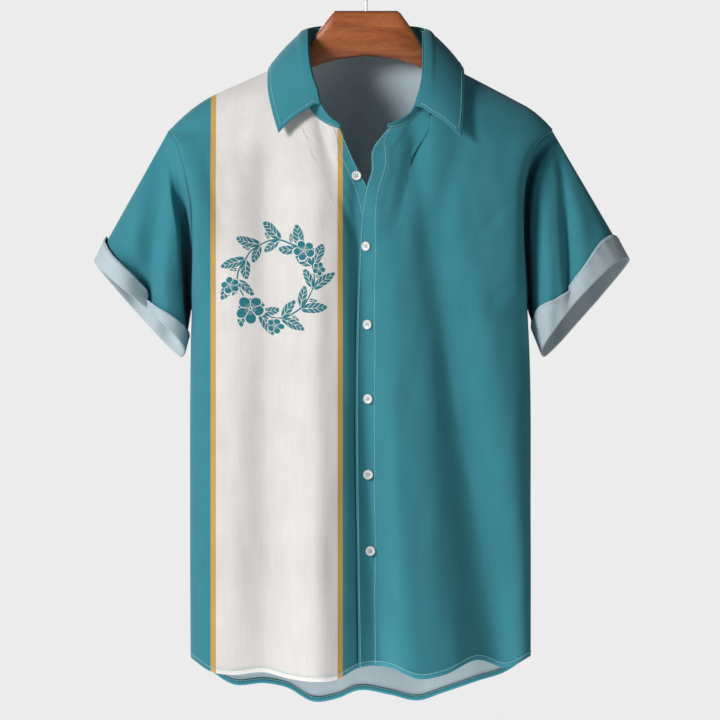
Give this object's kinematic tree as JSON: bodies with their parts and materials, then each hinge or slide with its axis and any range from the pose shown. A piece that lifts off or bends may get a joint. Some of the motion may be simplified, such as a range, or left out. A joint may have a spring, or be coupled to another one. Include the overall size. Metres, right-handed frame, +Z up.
{
  "type": "short-sleeved button-front shirt on a wooden hanger",
  "caption": "Short-sleeved shirt with a turned-down collar, button front, turned-up sleeve ends and curved hem, hanging on a wooden hanger with a wire hook.",
  "frame": {"origin": "the hang point, at the inside top of the hanger's hook, where the rail or wire it hangs on lies", "axes": "+Z up, +X towards the wearer's left side, +Y towards the back; the buttoned front faces -Y"},
  "size_m": [0.6662, 0.1648, 0.932],
  "materials": {
    "teal_cotton": "matt plain-woven cotton, printed teal on the face, pale on the reverse",
    "printed_cotton": "matt plain-woven cotton with printed stripes and a cream panel",
    "white_resin": "white polyester resin buttons, satin",
    "lacquered_beech": "beech, stained red-brown and lacquered",
    "plated_steel": "bright plated steel wire"
  },
  "bodies": {
    "root": {"front_right": "printed_cotton", "front_left": "teal_cotton", "back": "teal_cotton", "sleeve_right": "teal_cotton", "sleeve_left": "teal_cotton", "collar_stand": "teal_cotton", "collar_leaf": "teal_cotton", "button_1": "white_resin", "button_2": "white_resin", "button_3": "white_resin", "button_4": "white_resin", "button_5": "white_resin", "button_6": "white_resin", "hanger": "lacquered_beech", "hook": "plated_steel"}
  },
  "joints": []
}
